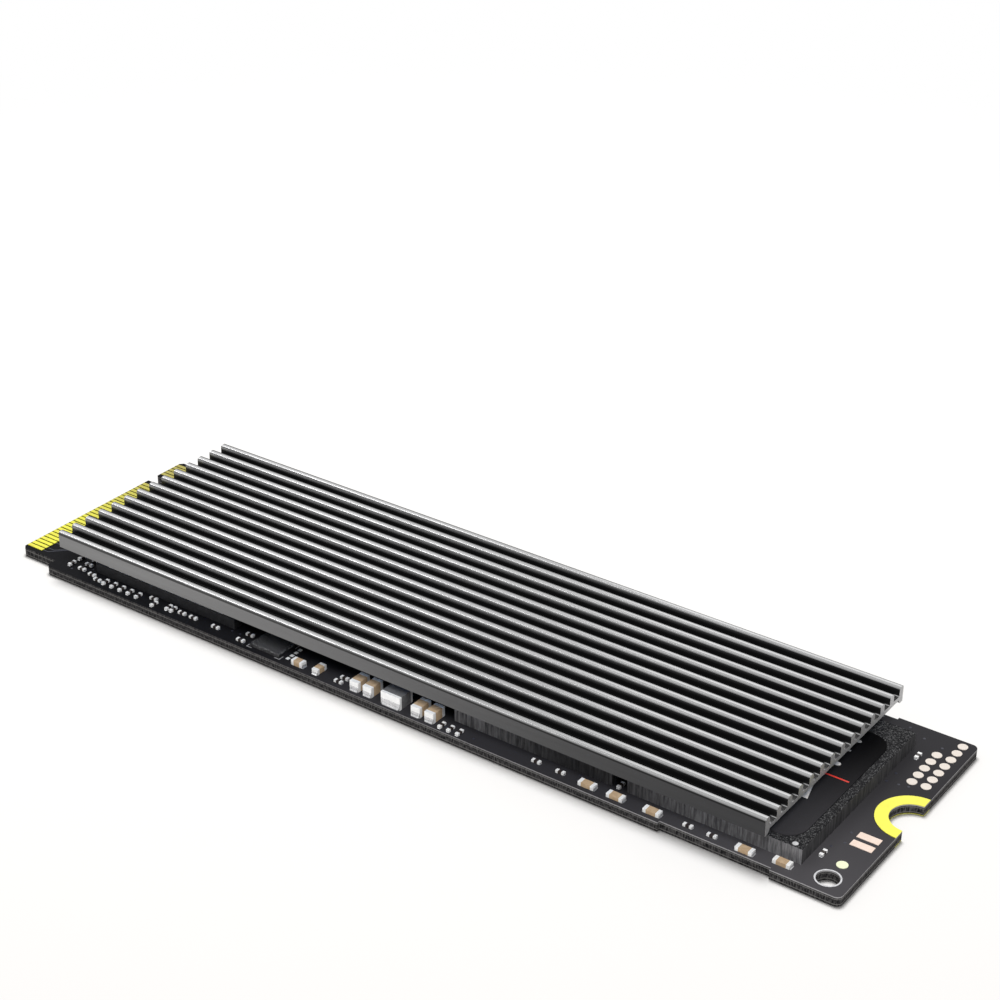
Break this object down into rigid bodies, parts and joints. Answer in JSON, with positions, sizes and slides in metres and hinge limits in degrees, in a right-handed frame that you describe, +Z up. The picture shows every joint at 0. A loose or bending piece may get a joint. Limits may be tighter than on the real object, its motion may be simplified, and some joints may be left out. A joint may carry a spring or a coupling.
{
  "type": "ssd heat sink",
  "caption": "Thin finned aluminium heat sink seated with a soft thermal pad on a solid state drive board; pad and heat sink lift off.",
  "frame": {"origin": "middle of the circuit board's underside", "axes": "+X along the drive from the connector to the screw end, +Y across it towards the key side, +Z up from the board through the pad to the fins"},
  "size_m": [0.08, 0.022, 0.0043],
  "materials": {
    "anodised_aluminium": "dark grey anodised extrusion",
    "pad_silicone": "light blue soft silicone",
    "board_mask": "black solder mask over laminate",
    "laminate": "black package laminate",
    "gold_plate": "gold plated copper",
    "nickel_lid": "satin nickel plate",
    "moulding": "dark grey moulding compound",
    "label_film": "black satin film",
    "tin": "bright tinned ends",
    "dark_ceramic": "dark ceramic",
    "tan_ceramic": "tan ceramic",
    "ferrite": "grey ferrite",
    "bare_pad": "pale tinned copper"
  },
  "bodies": {
    "drive": {"circuit_board": "board_mask", "contacts_top_main": "gold_plate", "contacts_top_key": "gold_plate", "contacts_bottom_main": "gold_plate", "contacts_bottom_key": "gold_plate", "mount_ring_top": "gold_plate", "mount_ring_bottom": "gold_plate", "tooling_rims": "tin", "controller_substrate": "laminate", "controller_lid": "nickel_lid", "dram_chip": "moulding", "memory_chip_near": "moulding", "memory_chip_far": "moulding", "power_chip": "moulding", "corner_chip": "moulding", "regulator_chip": "moulding", "switch_chip": "moulding", "sense_chip": "moulding", "drive_label": "label_film", "test_pads": "bare_pad", "back_dots": "tin", "front_dots": "tin", "jumper_pads": "bare_pad", "fiducials": "tin", "connector_lane_capacitors": "dark_ceramic", "connector_lane_capacitor_ends": "tin", "front_row_capacitors": "dark_ceramic", "front_row_capacitor_ends": "tin", "back_row_capacitors": "dark_ceramic", "back_row_capacitor_ends": "tin", "tan_capacitors": "tan_ceramic", "tan_capacitor_ends": "tin", "memory_row_capacitors": "tan_ceramic", "memory_row_capacitor_ends": "tin", "tall_capacitors": "tan_ceramic", "tall_capacitor_ends": "tin", "inductor_core": "ferrite", "inductor_terminals": "tin"},
    "pad": {"thermal_pad": "pad_silicone"},
    "sink": {"heat_sink": "anodised_aluminium"}
  },
  "joints": [
    {"name": "pad_lift", "type": "slide", "parent": "drive", "child": "pad", "axis": [0, 0, 1], "range_m": [0, 0.01535]},
    {"name": "heat_sink_lift", "type": "slide", "parent": "pad", "child": "sink", "axis": [0, 0, 1], "range_m": [0, 0.01428]}
  ]
}
